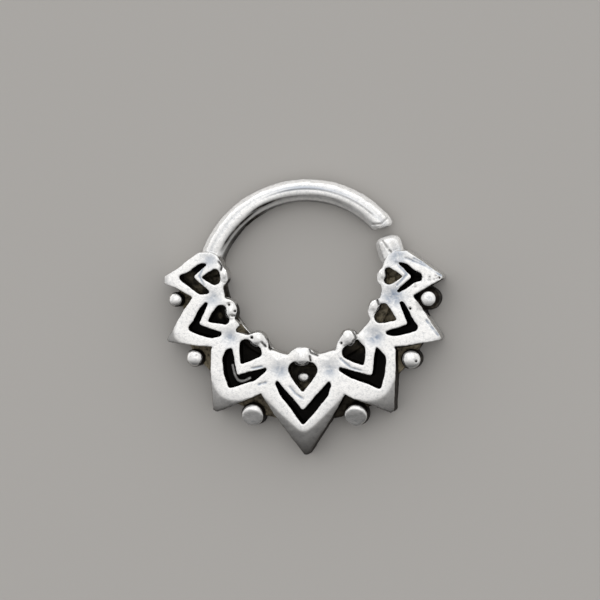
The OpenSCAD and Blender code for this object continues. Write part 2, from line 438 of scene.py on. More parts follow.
def ball(size, place):
    """A round lump, with a radius along each of its own axes."""
    bm = bmesh.new()
    bmesh.ops.create_uvsphere(
        bm, u_segments=32, v_segments=16, radius=1, matrix=place @ Matrix.Diagonal((*size, 1))
    )
    return to_object(bm, "ball")


def post(radius, height, place, lean=None, cut=0):
    """A round post with a domed head, or with a flat one that leans towards a direction."""
    straight = height - HEAD_DOME * radius
    bm = bmesh.new()
    bmesh.ops.create_cone(
        bm, cap_ends=True, segments=32, radius1=radius, radius2=radius, depth=straight,
        matrix=place @ Matrix.Translation((0, 0, straight / 2)),
    )
    head = bmesh.new()
    dome = Matrix.Translation((0, 0, straight)) @ Matrix.Diagonal((radius, radius, HEAD_DOME * radius, 1))
    bmesh.ops.create_uvsphere(head, u_segments=32, v_segments=16, radius=1, matrix=place @ dome)
    if lean:
        middle = place @ Vector((0, 0, height - cut * radius))
        for part in (bm, head):
            everything = [*part.verts, *part.edges, *part.faces]
            edge = bmesh.ops.bisect_plane(
                part, geom=everything, plane_co=middle, plane_no=lean, clear_outer=True,
            )["geom_cut"]
            bmesh.ops.holes_fill(part, edges=[g for g in edge if isinstance(g, bmesh.types.BMEdge)])
    return [to_object(bm, "post"), to_object(head, "head")]


# %% The outer beads
HEADS = []
for notch in NOTCHES:
    turn, out = notch_place(notch)
    spot = Matrix.Rotation(math.radians(turn - 90), 3, "Z") @ Vector((out, 0, 0))
    place = Matrix.Translation((spot.x + notch.shift_x, spot.y + notch.shift_y, 0))
    HEADS.append((notch, place.translation.copy()))
    lean = Vector((0, -notch.lean, 1)).normalized() if notch.lean else None
    pieces += post(notch.radius, PANEL - HEAD_BELOW_FACE, place, lean, notch.cut)

print("Outer beads:", len(HEADS))

# %% The root beads: where each lies, its reach along X and along Y, in mm
Lump = namedtuple("Lump", "x y wide long")
LUMPS = [
    Lump(-4.36, 0.0, 0.28, 0.43), Lump(-4.0, -2.03, 0.38, 0.46), Lump(-2.48, -3.55, 0.56, 0.5),
    Lump(-0.05, -4.55, 0.56, 0.53), Lump(2.52, -3.44, 0.5, 0.52), Lump(3.97, -1.7, 0.34, 0.42),
    Lump(4.44, 0.05, 0.24, 0.4),
]
LUMP_PROUD = 0.12
LUMP_DEPTH = 0.5
for lump in LUMPS:
    middle = Matrix.Translation((lump.x, lump.y, PANEL + LUMP_PROUD - LUMP_DEPTH))
    pieces.append(ball((lump.wide, lump.long, LUMP_DEPTH), middle))

print("Root beads:", len(LUMPS))

# %% Two pieces that show inside the pockets: a blob of metal in the bottom heart, and a thread in a slot, polished as a painted reflection of the inner rib's edge
BLOB = (0.02, -5.7, 1.45)
BLOB_SIZE = (0.34, 0.26, 0.14)
STALK_SIZE = (0.2, 0.14, 0.6)
pieces.append(ball(BLOB_SIZE, Matrix.Translation(BLOB)))
pieces.append(ball(STALK_SIZE, Matrix.Translation((BLOB[0], BLOB[1], FLOOR))))
THREAD = [
    (-3.98, -5.05), (-3.89, -5.45), (-3.79, -5.72), (-3.68, -5.87), (-3.53, -5.94),
    (-3.34, -5.91), (-2.95, -5.73),
]
THREAD_HEIGHT = 1.3
THREAD_R = 0.125
THREAD_STEPS = 6
for start, end in zip(THREAD, THREAD[1:]):
    for k in range(THREAD_STEPS):
        spot = Vector((*start, THREAD_HEIGHT)).lerp(Vector((*end, THREAD_HEIGHT)), k / THREAD_STEPS)
        pieces.append(ball((THREAD_R,) * 3, Matrix.Translation(spot)))
print("Pieces so far:", len(pieces))

# %% [markdown]
# ## Hoop and stub
# The hoop is a round wire bent to part of a circle. A curve with a round bevel would do, but its
# end could not be shaped, so a circle of vertices is spun round the hoop's centre, and the free end
# is closed by pulling the last ring out, tilting and narrowing it as nippers and a file leave it.
# The stub is a short thick post on the other end petal, turned to follow the same line.

# %% The hoop's circle, through its top and its seat on the end petals
SEAT_OUT = 0.24
SEAT_UP = 0.4
end_petal = PETALS[-1]
seat = on_petal(end_petal) @ Vector((SEAT_OUT * length_of(end_petal), SEAT_UP * length_of(end_petal), 0))
HOOP_Y = (HOOP_TOP**2 - seat.x**2 - seat.y**2) / (2 * (HOOP_TOP - seat.y))
HOOP_R = HOOP_TOP - HOOP_Y
# The hoop was bent a little off the panel's middle
HOOP_X = 0.08
print("Hoop radius:", round(HOOP_R, 2), "centre at y =", round(HOOP_Y, 2))

# %% The hoop
# Smoothing takes this much off a round wire, in mm
MELT = 0.025
FREE_END_DEG = 44.2
HOOP_LENGTH_DEG = 117
# Each ring of the free end: how far it is pulled out, how far it tilts and how wide it stays
FREE_END = [(0.13, 6, 1.04), (0.14, 8, 1.03), (0.13, 8, 0.93), (0.08, 4, 0.7), (0.03, 0, 0.32)]


def hoop():
    """The wire from its root to its free end, as one closed solid."""
    bm = bmesh.new()
    middle = (HOOP_X, HOOP_Y, WIRE_HEIGHT)
    start = Matrix.Translation(middle) @ Matrix.Rotation(math.radians(FREE_END_DEG), 4, "Z")
    section = start @ Matrix.Translation((HOOP_R, 0, 0)) @ Matrix.Rotation(math.pi / 2, 4, "X")
    circle = bmesh.ops.create_circle(bm, segments=40, radius=WIRE_R + MELT, matrix=section)["verts"]
    bmesh.ops.spin(
        bm, geom=list(bm.edges), cent=middle, axis=(0, 0, 1), dvec=(0, 0, 0),
        angle=math.radians(HOOP_LENGTH_DEG), steps=HOOP_LENGTH_DEG, use_merge=False,
        use_duplicate=False,
    )
    onward = start.to_3x3() @ Vector((0, -1, 0))
    rim = [e for e in bm.edges if all(v in circle for v in e.verts)]
    for pull, tilt, width in FREE_END:
        pulled = bmesh.ops.extrude_edge_only(bm, edges=rim)["geom"]
        verts = [g for g in pulled if isinstance(g, bmesh.types.BMVert)]
        rim = [g for g in pulled if isinstance(g, bmesh.types.BMEdge)]
        centre = sum((v.co for v in verts), Vector()) / len(verts)
        radius = sum((v.co - centre).length for v in verts) / len(verts)
        bmesh.ops.translate(bm, verts=verts, vec=onward * pull)
        centre += onward * pull
        turn = Matrix.Rotation(math.radians(-tilt), 3, "Z")
        bmesh.ops.rotate(bm, cent=centre, matrix=turn, verts=verts)
        share = width * WIRE_R / radius
        bmesh.ops.scale(bm, vec=(share,) * 3, space=Matrix.Translation(-centre), verts=verts)
    bmesh.ops.holes_fill(bm, edges=[e for e in bm.edges if e.is_boundary])
    return to_object(bm, "hoop")


pieces.append(hoop())
print("The hoop's reach in degrees:", FREE_END_DEG, "to", FREE_END_DEG + HOOP_LENGTH_DEG)

# %% The stub
STUB_R = 0.73
STUB_LENGTH = 1.72
STUB_LEAN_DEG = 17
# Where it starts inside the end petal, as shares of the petal's length
STUB_ROOT = (0.2, 0.19)
stub_root = Vector((*STUB_ROOT, 0)) * length_of(end_petal)
STUB_PLACE = (
    Matrix.Translation((on_petal(end_petal) @ stub_root) + Vector((0, 0, WIRE_HEIGHT)))
    @ Matrix.Rotation(math.radians(STUB_LEAN_DEG), 4, "Z")
    @ Matrix.Rotation(-math.pi / 2, 4, "X")
)
pieces += post(STUB_R, STUB_LENGTH, STUB_PLACE)
print("Pieces to fuse:", len(pieces))

# %% [markdown]
# ## Fuse the casting
# The real ring has no seams. Boolean unions would join the solids with sharp inner corners. A voxel
# remesh melts them into one skin instead, and a few rounds of smoothing soften every edge by a few
# hundredths of a millimetre, as tumbling does. The edge round the opening gets more rounds, because
# the wheel reaches it from two sides.

# %% One skin
VOXEL = 0.045
SMOOTHING = 5

bm = bmesh.new()
for piece in pieces:
    bm.from_mesh(piece.data)
    bpy.data.objects.remove(piece)
ring = to_object(bm, "septum_ring_body")
remesh = ring.modifiers.new("melt", "REMESH")
remesh.mode = "VOXEL"
remesh.voxel_size = VOXEL
smooth = ring.modifiers.new("tumble", "SMOOTH")
smooth.factor = 0.5
smooth.iterations = SMOOTHING
freeze(ring)
print("Fused skin:", len(ring.data.vertices), "vertices")

# %% A rounder edge round the opening
ROUNDED_OUT_TO = 4.8
ROUNDED_BLEND = 0.35
ROUNDED_ABOVE = 0.6
ROUNDED_UP_TO = 1.0
ROUNDS = 28

roots = ring.vertex_groups.new(name="roots")
for v in ring.data.vertices:
    near = (ROUNDED_OUT_TO - math.hypot(v.co.x, v.co.y)) / ROUNDED_BLEND
    if near > 0 and v.co.z > ROUNDED_ABOVE and v.co.y < ROUNDED_UP_TO:
        roots.add([v.index], min(near, 1.0), "REPLACE")
rounder = ring.modifiers.new("round", "SMOOTH")
rounder.vertex_group = "roots"
rounder.factor = 0.5
rounder.iterations = ROUNDS
freeze(ring)
print("Rounded as far as", ROUNDED_OUT_TO, "mm from the opening's centre")

# %% [markdown]
# ## Shape the skin
# A real casting is never as even as its drawing: the wire is thicker at its root, the wall round
# the opening leans back, and hand work leaves slow waves in every outline. Sculpting could do
# this, but it would be different each time. Here arrays of all the skin's points are moved by a
# few formulas, so that the same waves come back each time.

# %% Reading, writing and measuring the skin's points
def read_points(mesh):
    flat = np.empty(len(mesh.vertices) * 3, np.float32)
    mesh.vertices.foreach_get("co", flat)
    return flat.reshape(-1, 3).astype(float)


def write_points(mesh, points):
    mesh.vertices.foreach_set("co", points.astype(np.float32).ravel())
    mesh.update()


def smooth_step(low_end, high_end, values):
    """0 at the low end, 1 at the high end, with a soft start and a soft stop."""
    t = np.clip((values - low_end) / (high_end - low_end), 0, 1)
    return t * t * (3 - 2 * t)


def bell(distance, half):
    """1 in the middle, fading out at about half."""
    return np.exp(-((distance / half) ** 2))


def away_from(x, y):
    """How far each point of the skin lies from a spot, seen from the front."""
    return np.hypot(points[:, 0] - x, points[:, 1] - y)


def from_line(line):
    """How far each point of the skin lies from a line through places, seen from the front."""
    nearest = np.full(len(points), np.inf)
    for start, end in zip(np.array(line[:-1]), np.array(line[1:])):
        along = end - start
        share = np.clip(((points[:, :2] - start) @ along) / (along @ along), 0, 1)
        gap = points[:, :2] - start - share[:, None] * along
        nearest = np.minimum(nearest, np.hypot(gap[:, 0], gap[:, 1]))
    return nearest


points = read_points(ring.data)
print("Points read:", len(points))

# %% The wire swells towards its root
SWELL = 0.08
SWELL_FROM_DEG = 105
SWELL_FULL_DEG = 135
# Only what lies this near the wire's middle line swells, in wire radii
SWELL_REACH = (1.6, 1.2)
# The hoop is looked for above this, in mm up from the opening's centre
HOOP_FROM_Y = 0.5

turn_on_hoop = np.arctan2(points[:, 1] - HOOP_Y, points[:, 0] - HOOP_X)
middle_line = np.stack([
    HOOP_X + HOOP_R * np.cos(turn_on_hoop), HOOP_Y + HOOP_R * np.sin(turn_on_hoop),
    np.full(len(points), WIRE_HEIGHT),
], 1)
from_middle = np.linalg.norm(points - middle_line, axis=1) / WIRE_R
swell = SWELL * smooth_step(SWELL_FROM_DEG, SWELL_FULL_DEG, np.degrees(turn_on_hoop))
swell *= smooth_step(*SWELL_REACH, from_middle) * (points[:, 1] > HOOP_FROM_Y)
points += (points - middle_line) * swell[:, None]
print("Widest swell:", round(float(swell.max()) * 100, 1), "% of the wire's radius")

# %% The wall round the opening leans back, so that the model slipped out of its mould
DRAFT = 0.09
DRAFT_REACH = 1.1
out = np.hypot(points[:, 0], points[:, 1])
lean = DRAFT * (PANEL - points[:, 2]) * np.clip(1 - (out - OPENING_R) / DRAFT_REACH, 0, 1)
lean *= smooth_step(0.9, 0.4, points[:, 1])
points[:, :2] *= (1 + lean / out)[:, None]
print("Lean at the back of the wall:", round(float(lean.max()), 2), "mm")

# %% Slow waves and short ripples, calmer across the flat faces
WAVE = 0.025
WAVE_LENGTH = 0.7
RIPPLE = 0.018
RIPPLE_LENGTH = 0.22
FACE_CALM = 0.22
# Without a seed this noise starts from the clock, and each run would differ
WAVE_SEED = 4
noise.seed_set(WAVE_SEED)
waves = np.array([noise.noise_vector(Vector(c) / WAVE_LENGTH) for c in points])
ripples = np.array([noise.noise_vector(Vector(c) / RIPPLE_LENGTH) for c in points])
waves[:, 2] *= FACE_CALM
ripples[:, 2] *= FACE_CALM
points += WAVE * waves + RIPPLE * ripples
print("Waves of", WAVE, "mm and ripples of", RIPPLE, "mm")

# %% [markdown]
# ## Dips, pits, cracks and grooves
# The wheel wears shallow dips where petals meet, gas leaves pits in the metal, grooves run along
# the inner ribs and over the right petals' tips, and cracks run beside the root beads. Some grooves,
# and a few lines on the stub and the free end, stand for shade beside an edge, and the colour they
# give is painted shade. Each is a place or a line on the front. They could be painted as bump, but
# sunk into the skin they also catch the light from the side.

# %% Dips and pits: where each is, its radius and its depth, in mm
DIPS = [
    (-1.25, -5.3, 0.62, 0.05), (1.55, -5.2, 0.62, 0.055), (-4.0, -3.5, 0.6, 0.05),
    (4.05, -3.4, 0.65, 0.065), (-5.0, -1.35, 0.65, 0.04), (5.05, -1.2, 0.85, 0.075),
    (-5.2, 0.8, 0.65, 0.04), (5.3, 1.0, 0.75, 0.05), (7.08, -1.28, 0.2, 0.03),
]
PITS = [
    (-4.1, -1.67, 0.08, 0.08), (-3.76, -2.03, 0.07, 0.08), (-2.82, -3.48, 0.09, 0.1),
    (-1.92, -3.64, 0.07, 0.1), (2.19, -3.76, 0.06, 0.1), (2.9, -3.2, 0.07, 0.1), (6.0, -1.85, 0.07, 0.1),
    (7.6, -0.15, 0.07, 0.07), (-5.95, -4.5, 0.05, 0.04), (6.3, -4.75, 0.07, 0.07),
]
# The right end petal's tip came out of the mould finely pitted, within a triangle
TIP_PITS = 16
TIP_X = 8.2
TIP_LONG = 1.6
TIP_SEED = 11
rng = np.random.default_rng(TIP_SEED)
for _ in range(TIP_PITS):
    x, y = rng.uniform(6.2, 7.5), rng.uniform(-0.55, 0.15)
    PITS.append((x, y * (TIP_X - x) / TIP_LONG, rng.uniform(0.04, 0.07), rng.uniform(0.015, 0.05)))
print("Dips:", len(DIPS), "pits:", len(PITS))

# %% Cracks, grooves and painted shade lines: lines through places in mm
CRACKS = [
    [(0.38, -3.98), (0.47, -4.31), (0.86, -4.45)], [(0.41, -4.51), (0.47, -4.76)],
    [(-2.25, -3.76), (-2.03, -3.98)], [(2.87, -3.14), (2.98, -3.48), (2.84, -3.7)],
    [(-3.94, -2.28), (-3.71, -2.28)], [(4.14, -1.31), (4.25, -1.64)],
    [(-4.67, 0.69), (-4.5, 0.47), (-4.56, 0.24)],
]
# Some of these stand for the shade beside the inner ribs' bevelled edges; their tint is painted shade
GROOVES = [
    [(-0.68, -6.2), (-0.35, -6.59), (0.03, -6.85)], [(2.14, -4.63), (2.74, -5.14), (3.3, -5.29)],
    [(5.2, 0.69), (5.82, 0.05), (5.26, -0.56)], [(-5.51, 0.52), (-5.76, -0.09), (-5.51, -0.59)],
    [(-2.42, -6.09), (-2.03, -5.98)], [(-2.82, -5.2), (-2.26, -5.09)],
    [(5.75, 0.92), (6.88, 0.5), (7.7, -0.02)], [(6.2, 0.9), (7.3, 0.42)],
    [(6.83, -1.95), (7.4, -2.75), (7.78, -3.3)], [(6.9, -2.5), (7.55, -3.3)],
]
# Painted shade lines, about half as dark as cracks: two on the stub, and one at the free end
SHADE_LINES = [
    [(4.36, 1.9), (4.5, 1.72), (4.66, 1.48)], [(4.76, 1.36), (4.88, 1.24)],
    [(3.8, 2.78), (4.3, 2.8), (4.66, 3.2)],
]
print("Cracks:", len(CRACKS), "grooves:", len(GROOVES), "nicks:", len(SHADE_LINES))

# %% How deep each of them is, and how strong on every point
CRACK_HALF = 0.05
CRACK_DEPTH = 0.12
SHADE_LINE_SHARE = 0.55
GROOVE_HALF = 0.06
GROOVE_DEPTH = 0.04
FURROW_HALF = 0.12
FURROW_DEPTH = 0.03
# A pit this deep is quite black
PIT_BLACK = 0.09

sink = np.zeros(len(points))
for x, y, radius, depth in DIPS + PITS:
    sink += depth * bell(away_from(x, y), radius * 0.75)
crack_and_shade = np.zeros(len(points))
for line in CRACKS:
    crack_and_shade = np.maximum(crack_and_shade, bell(from_line(line), CRACK_HALF))
for line in SHADE_LINES:
    crack_and_shade = np.maximum(crack_and_shade, SHADE_LINE_SHARE * bell(from_line(line), CRACK_HALF))
for x, y, radius, depth in PITS:
    crack_and_shade = np.maximum(crack_and_shade, min(1, depth / PIT_BLACK) * bell(away_from(x, y), radius * 0.8))
groove_and_shade = np.zeros(len(points))
for line in GROOVES:
    groove_and_shade = np.maximum(groove_and_shade, bell(from_line(line), GROOVE_HALF))

# Each root bead is set off by a shallow furrow, broken here and there
broken = np.clip(0.6 + 1.6 * ripples[:, 1] + waves[:, 0], 0, 1)
furrow = np.zeros(len(points))
for lump in LUMPS:
    away = np.hypot((points[:, 0] - lump.x) / lump.wide, (points[:, 1] - lump.y) / lump.long)
    furrow = np.maximum(furrow, bell(away - 1.0, FURROW_HALF) * broken)
sink += CRACK_DEPTH * crack_and_shade + GROOVE_DEPTH * groove_and_shade + FURROW_DEPTH * furrow
print("Deepest:", round(float(sink.max()), 2), "mm")


# %% Sink them into the front, and keep what the finish will need
def store(name, values):
    """Keeps one number per vertex on the ring, for the material."""
    if name not in ring.data.attributes:
        ring.data.attributes.new(name, "FLOAT", "POINT")
    ring.data.attributes[name].data.foreach_set("value", values.astype(np.float32))


# The front is the panel's top and the upper half of the wire, where it faces up
FACE_ABOVE = 1.3
WIRE_ABOVE = 0.8
facing = np.array([v.normal.z for v in ring.data.vertices])
on_wire_top = (points[:, 1] > 1.2) & (points[:, 2] > WIRE_ABOVE)
front = ((points[:, 2] > FACE_ABOVE) | on_wire_top) * np.clip((facing - 0.35) / 0.3, 0, 1)
points[:, 2] -= front * sink
points[:, 2] = np.maximum(points[:, 2], 0)
write_points(ring.data, points)
# Cracks, pits and furrows hold black; the shade lines on the stub and the free end are painted shade
store("crack_and_shade", np.maximum(crack_and_shade, 0.35 * furrow) * front)
store("groove_and_shade", groove_and_shade * front)
print("Points on the front:", int((front > 0.5).sum()))

# %% Thin the mesh out where it is flat
TRIANGLES = 190_000
thin = ring.modifiers.new("thin", "DECIMATE")
thin.ratio = TRIANGLES / (2 * len(ring.data.polygons))
freeze(ring)
ring.data.polygons.foreach_set("use_smooth", [True] * len(ring.data.polygons))
print("Triangles:", sum(len(f.vertices) - 2 for f in ring.data.polygons))

# %% [markdown]
# ## Where the black stays
# The blackening bath reaches every surface, and the polishing wheel only the open ones. So the
# finish needs to know how open each spot is. Ambient occlusion in the material could say so, but it
# would have to be worked out in every render. Here rays are sent out from every vertex once, and
# the share that flies free is stored on the mesh, as an attribute that the material reads.

# %% Openness
RAYS = 28
RAY_REACH = 1.6
# Rays start this far off the skin, so that they don't hit the face they start from
LIFT = 0.02


def hemisphere(count):
    """Directions round +Z, more of them near it, as light falls on a surface."""
    k = np.arange(count) + 0.5
    height = np.sqrt(1 - k / count)
    turn = k * math.pi * (3 - math.sqrt(5))
    side = np.sqrt(1 - height**2)
    return [Vector(d) for d in zip(side * np.cos(turn), side * np.sin(turn), height)]


skin = BVHTree.FromPolygons(
    [v.co for v in ring.data.vertices], [list(f.vertices) for f in ring.data.polygons]
)
directions = hemisphere(RAYS)
openness = np.empty(len(ring.data.vertices), np.float32)
for k, vertex in enumerate(ring.data.vertices):
    turned = vertex.normal.to_track_quat("Z", "Y").to_matrix()
    start = vertex.co + vertex.normal * LIFT
    free = sum(skin.ray_cast(start, turned @ d, RAY_REACH)[0] is None for d in directions)
    openness[k] = free / RAYS
store("openness", openness)
print("Openness:", round(float(openness.min()), 2), "to", round(float(openness.max()), 2))

# %% [markdown]
# ## What the wheel reached, with painted light and shade
# The wheel polished what is open and faces the front, the wire all round, and the walls that a
# finger or a thin buff can reach. Outer walls that face the light are also made bright as painted
# light, and a stretch of wall and the outer beads' flanks are darkened as painted shade. These could
# be painted by hand on the mesh. Formulas of place, direction and openness are used instead,
# because they stay right when a size is changed.

# %% Which points are wire, and which are stub
WIRE_REACH = 1.22
STUB_REACH = 1.06
BEFORE_END_DEG = 7


def seen_from(place):
    """The skin's points in a piece's own frame, as rows of x, y, z and ones."""
    return np.array(place.inverted()) @ np.c_[points, np.ones(len(points))].T


points = read_points(ring.data)
px, py, pz = points.T
normals = np.array([v.normal for v in ring.data.vertices])
facing = normals[:, 2]
from_hoop = away_from(HOOP_X, HOOP_Y)
turn_on_hoop = np.arctan2(py - HOOP_Y, px - HOOP_X)
on_wire = np.hypot(from_hoop - HOOP_R, pz - WIRE_HEIGHT) < WIRE_R * WIRE_REACH
on_wire &= (py > HOOP_FROM_Y) & (turn_on_hoop > math.radians(FREE_END_DEG - BEFORE_END_DEG))
to_stub = seen_from(STUB_PLACE)
on_stub = (np.hypot(to_stub[0], to_stub[1]) < STUB_R * STUB_REACH) & (to_stub[2] > 0.3)
round_metal = on_wire | on_stub
print("Vertices on the wire:", int(on_wire.sum()), "on the stub:", int(on_stub.sum()))

# %% The wall round the opening, polished, but a stretch beside the left root beads and its ledge are darkened as painted shade
WALL_SHINE = 0.66
out = away_from(0, 0)
inwards = -(normals[:, 0] * px + normals[:, 1] * py) / np.maximum(out, 0.1)
shaded_stretch = smooth_step(-3.3, -3.7, px) * smooth_step(-3.3, -2.9, py) * smooth_step(-0.1, -0.5, py)
walls = WALL_SHINE * smooth_step(0.35, 0.8, inwards) * smooth_step(5.4, 4.9, out)
walls *= 1 - 0.75 * shaded_stretch
shaded_ledge = shaded_stretch * smooth_step(5.0, 4.7, out) * (pz < 1.6)
print("Wall points:", int((walls > 0.3).sum()))

# %% Painted light: outer walls that face the hoop or the upper right, and the right tips, are made bright as if lit, brighter towards their top
upper_right = smooth_step(0.75, 0.95, normals[:, 0] * 0.75 + normals[:, 1] * 0.66)
upper_right *= smooth_step(5.2, 5.8, px) * smooth_step(-3.8, -3.2, py)
right_tips = smooth_step(7.4, 7.6, px) * smooth_step(0.4, 0.7, normals[:, 0])
painted_lit_walls = np.maximum(smooth_step(0.25, 0.7, normals[:, 1]), np.maximum(upper_right, right_tips))
painted_lit_walls *= (0.56 + 0.2 * smooth_step(0.0, 1.6, pz)) * smooth_step(0.55, 0.75, openness)
print("Lit outer walls:", int((painted_lit_walls > 0.3).sum()), "points")

# %% All the polish together, with painted light on the lit walls and painted shade
BACK_SHINE = 0.6
BLOB_SHINE = 0.64
REFLECTION_THREAD_SHINE = 0.54

reached = np.maximum(smooth_step(0.12, 0.5, facing), BACK_SHINE * smooth_step(-0.5, -0.8, facing))
# What lies low between the petals stayed black, but not on the wall round the opening
low_down = smooth_step(1.75, 1.5, pz) * smooth_step(0.97, 0.7, openness)
low_down *= smooth_step(OPENING_R + 0.1, OPENING_R + 0.2, out)
# Painted shade: the ledge beside the left root beads is darkened
polish = (openness * reached - 0.5 * low_down) * (1 - 0.7 * shaded_ledge)
# Painted light: the polished walls, and the walls that face the light, are made bright
polish = np.maximum(polish, np.maximum(walls, painted_lit_walls) * np.clip(openness * 1.4, 0, 1))
on_blob = smooth_step(0.42, 0.3, np.linalg.norm(points - np.array(BLOB), axis=1)) * (facing > 0.35)
polish = np.maximum(polish, BLOB_SHINE * on_blob)
# Painted reflection: the thread in the slot is made bright
reflection_thread = bell(from_line(THREAD), THREAD_R * 1.6) * smooth_step(1.25, 1.4, pz) * (pz < 1.6)
polish = np.maximum(polish, REFLECTION_THREAD_SHINE * reflection_thread)
polish = np.where(round_metal, openness, polish)
# The flanks of the outer beads are darkened beyond their crowns as painted shade, a shadowed ring
for notch, spot in HEADS:
    away = away_from(spot.x, spot.y) / notch.radius
    shaded_flank = smooth_step(notch.crown - 0.1, notch.crown + 0.1, away) * (away < 1.12)
    polish *= 1 - 0.8 * shaded_flank * (pz < PANEL - HEAD_BELOW_FACE + 0.03)
store("polish", polish)
print("Polished share:", round(float((polish > 0.6).mean()), 2))

# %% [markdown]
# ## Where the shine changes, and painted shade
# The dips are worn to a bluish mirror. The tips, the lower halves of the beads, the walls and the
# wire's steep sides are greyed where they turn away from the light. This grey is painted shade,
# mixed into the silver. A second material could hold each, but one number for each point blends
# them without a seam.

# %% Worn dips
WORN_DEPTH = 0.065
worn = np.zeros(len(points))
for x, y, radius, depth in DIPS:
    worn = np.maximum(worn, min(1, depth / WORN_DEPTH) * bell(away_from(x, y), radius * 0.65))
store("worn", worn * (facing > 0.5))
print("Worn share:", round(float((worn > 0.3).mean()), 2))

# %% Painted shade: just beyond the outer rib, further out, on the beads' lower halves, on the walls and on the wire's steep sides
PAINTED_SHADE_NEAR = 0.62
PAINTED_SHADE_FAR = 0.28
PAINTED_SHADE_FLAT_BEAD = 0.3
PAINTED_SHADE_ROUND_BEAD = 0.4
PAINTED_SHADE_WALL = 0.5
PAINTED_SHADE_WIRE_SIDE = 0.4

haze = np.zeros(len(points))
on_head = np.zeros(len(points), bool)
for notch, spot in HEADS:
    on_head |= away_from(spot.x, spot.y) < notch.radius + 0.05
for p in PETALS:
    x, y = seen_from(on_petal(p))[:2]
    near = ~on_head & (np.abs(y) < half_width_of(p)) & (x > 0) & (x < 1.1 * length_of(p))
    beyond = np.where(near, beyond_rib(p, x, y), 0)
    tip_shade = PAINTED_SHADE_NEAR * smooth_step(0, 0.15, beyond) + PAINTED_SHADE_FAR * smooth_step(0.1, 1.0, beyond)
    haze = np.maximum(haze, p.haze * tip_shade)
for notch, spot in HEADS:
    strength, starts = (PAINTED_SHADE_FLAT_BEAD, 0.0) if notch.lean else (PAINTED_SHADE_ROUND_BEAD, -0.5)
    lower = smooth_step(0.45, 0.1, (py - spot.y) / notch.radius - starts)
    on_bead = (away_from(spot.x, spot.y) / notch.radius < 1.15) & (pz > 1.3)
    haze = np.maximum(haze, strength * lower * on_bead)
haze = np.maximum(haze, PAINTED_SHADE_WALL * walls)
haze = np.maximum(haze, PAINTED_SHADE_WIRE_SIDE * smooth_step(0.3, 0.0, facing) * round_metal)
store("haze", haze)
print("Mean haze:", round(float(haze.mean()), 2))

# %% [markdown]
# ## Olive stains
# In some hearts and on the webs the black has turned olive, as old sulphide does, and in a few
# spots the metal shows through. Each heart and web has a strength of its own, because no two are
# alike on the real ring.

# %% How olive each heart is
STAINS = {"right_end": 1.3, "right_middle": 0.9, "left_middle": 0.02, "left_end": 0.25, "bottom": 0.12}
STAIN_ELSEWHERE = 0.02
IN_POCKET = pz < 1.6

stain = np.zeros(len(points))
for p in PETALS:
    x, y = seen_from(on_petal(p))[:2]
    middle = (p.heart_top + p.heart_foot) / 2 * length_of(p)
    shift = upper_side(p) * p.heart_across * half_width_of(p)
    away = np.hypot(x - middle, y - shift) / (p.heart_foot - p.heart_top) / length_of(p)
    stain = np.maximum(stain, STAINS.get(p.name, STAIN_ELSEWHERE) * smooth_step(0.75, 0.4, away))
stain *= IN_POCKET
print("Stained hearts:", len(STAINS))

# %% The webs, outside the petals, and the specks: where, how wide and how strong
SPECKS = [
    (0.05, -6.15, 0.35, 0.9), (-5.95, -0.75, 0.35, 0.7), (-6.4, -0.15, 0.3, 0.5),
    (-4.75, -2.3, 0.12, 1.0), (2.75, -3.75, 0.3, 0.4), (3.1, -4.1, 0.2, 0.3), (-4.9, 0.05, 0.2, 0.7),
    (-3.5, -3.0, 0.3, 1.0),
]
WEB_STAIN_REACH = 1.3
within = np.zeros(len(points), bool)
for p in PETALS:
    x, y = seen_from(on_petal(p))[:2]
    edge = np.interp(x / length_of(p), *zip(*ROOT_EDGE, *SIDE_BOW, (1, 0)), left=0, right=0)
    within |= np.abs(y - sweep_at(p, x)) < 0.95 * edge * half_width_of(p)
on_web = ~within & (pz > WEB - 0.07) & (pz < WEB + 0.18) & (facing > 0.5)
for notch, spot in HEADS:
    stain = np.maximum(stain, notch.stain * on_web * bell(away_from(spot.x, spot.y), WEB_STAIN_REACH))
for x, y, radius, strength in SPECKS:
    stain = np.maximum(stain, strength * bell(away_from(x, y), radius) * IN_POCKET)
store("stain", stain)
print("Stained share:", round(float((stain > 0.3).mean()), 2))

# %% [markdown]
# ## The wire's painted bands
# A round polished wire mirrors bright and dim bands of the room, and shades itself at its inner
# edge. Those bands are painted on as shade and reflection: a dark band on the inner side, strongest
# towards the root, a dark inner edge, a grey line along the crown and a bluish grey band beside it.
# A UV map could hold them, but two numbers do it here: how far along the wire a point is, and how
# far round towards the opening, from -1 outside to 1 inside.

# %% Painted shade on the inner side and its edge, a painted grey line along the crown and a painted bluish reflection band beside it
inner = np.clip((HOOP_R - from_hoop) / WIRE_R, -1, 1).astype(np.float32)
turn_deg = np.degrees(turn_on_hoop)
towards_root = smooth_step(118, 132, turn_deg)
wire_shade = 0.4 + 0.5 * smooth_step(50, 70, turn_deg) + 0.4 * smooth_step(95, 120, turn_deg)
wire_shade *= smooth_step(160, 146, turn_deg) * bell(inner - 0.47 - 0.15 * towards_root, 0.18)
edge_shade = (0.75 + 0.45 * smooth_step(100, 130, turn_deg)) * smooth_step(0.82, 0.94, inner)
store("wire_shade", on_wire * np.maximum(wire_shade, edge_shade))
# Painted shade: a thin grey line along the crown
crown = smooth_step(122, 98, turn_deg) * smooth_step(46, 51, turn_deg)
store("line", on_wire * crown * bell(inner + 0.13, 0.07))
# Painted reflection: a bluish grey band beside the line
band = 0.35 + 0.65 * smooth_step(118, 100, turn_deg) * smooth_step(55, 72, turn_deg)
store("band", on_wire * band * bell(inner + 0.25, 0.2))
